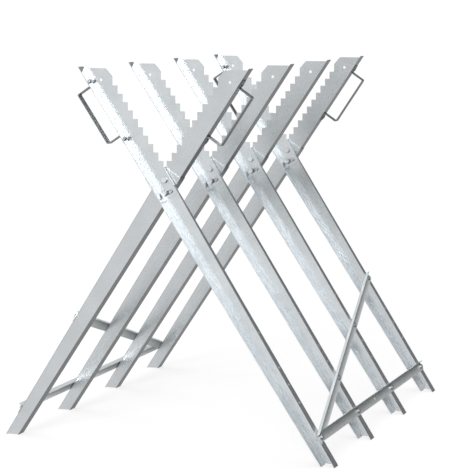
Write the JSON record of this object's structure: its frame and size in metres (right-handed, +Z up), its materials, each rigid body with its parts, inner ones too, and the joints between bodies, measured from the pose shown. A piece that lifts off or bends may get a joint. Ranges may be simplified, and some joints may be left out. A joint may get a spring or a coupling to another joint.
{
  "type": "log saw stand",
  "caption": "Folding galvanised steel stand that holds a log in crossed toothed arms for sawing, with channel legs, bolted angle bars, braces and bow handles.",
  "frame": {"origin": "on the floor, under the middle of the row of crossed frames", "axes": "+Z up, +Y along the row of frames, +X across it, towards the feet of side a"},
  "size_m": [0.8194, 0.8846, 0.8633],
  "materials": {
    "arm_sheet": "hot-dip galvanised, satin with a faint spangle",
    "leg_sheet": "hot-dip galvanised, satin with a faint spangle",
    "bar_steel": "hot-dip galvanised, satin with a faint spangle",
    "handle_strap": "hot-dip galvanised, satin with a faint spangle",
    "fasteners": "bright zinc plate"
  },
  "bodies": {
    "side_a": {"a_arm_1": "arm_sheet", "a_leg_1": "leg_sheet", "a_arm_2": "arm_sheet", "a_leg_2": "leg_sheet", "a_arm_3": "arm_sheet", "a_leg_3": "leg_sheet", "a_arm_4": "arm_sheet", "a_leg_4": "leg_sheet", "a_cross_bar": "bar_steel", "a_diagonal_brace": "bar_steel", "a_handle_1": "handle_strap", "a_handle_4": "handle_strap", "a_bar_bolts": "fasteners", "a_bar_nuts": "fasteners", "a_handle_screws": "fasteners", "a_handle_nuts": "fasteners", "pivot_bolts": "fasteners", "pivot_lock_nuts": "fasteners", "pivot_spacers": "fasteners"},
    "side_b": {"b_arm_1": "arm_sheet", "b_leg_1": "leg_sheet", "b_arm_2": "arm_sheet", "b_leg_2": "leg_sheet", "b_arm_3": "arm_sheet", "b_leg_3": "leg_sheet", "b_arm_4": "arm_sheet", "b_leg_4": "leg_sheet", "b_cross_bar": "bar_steel", "b_diagonal_brace": "bar_steel", "b_handle_1": "handle_strap", "b_handle_4": "handle_strap", "b_bar_bolts": "fasteners", "b_bar_nuts": "fasteners", "b_handle_screws": "fasteners", "b_handle_nuts": "fasteners"},
    "stop_set": {"stop_bolts": "fasteners", "stop_lock_nuts": "fasteners"}
  },
  "joints": [
    {"name": "fold", "type": "hinge", "parent": "side_a", "child": "side_b", "pos_m": [0, 0, 0.6145], "axis": [0, -1, 0], "range_deg": [0, 64]},
    {"name": "stop_swing", "type": "hinge", "parent": "side_a", "child": "stop_set", "pos_m": [0, 0, 0.6145], "axis": [0, -1, 0], "range_deg": [0, 32]}
  ],
  "couplings": [
    {"joint": "stop_swing", "follows": "fold", "ratio": 0.5}
  ]
}
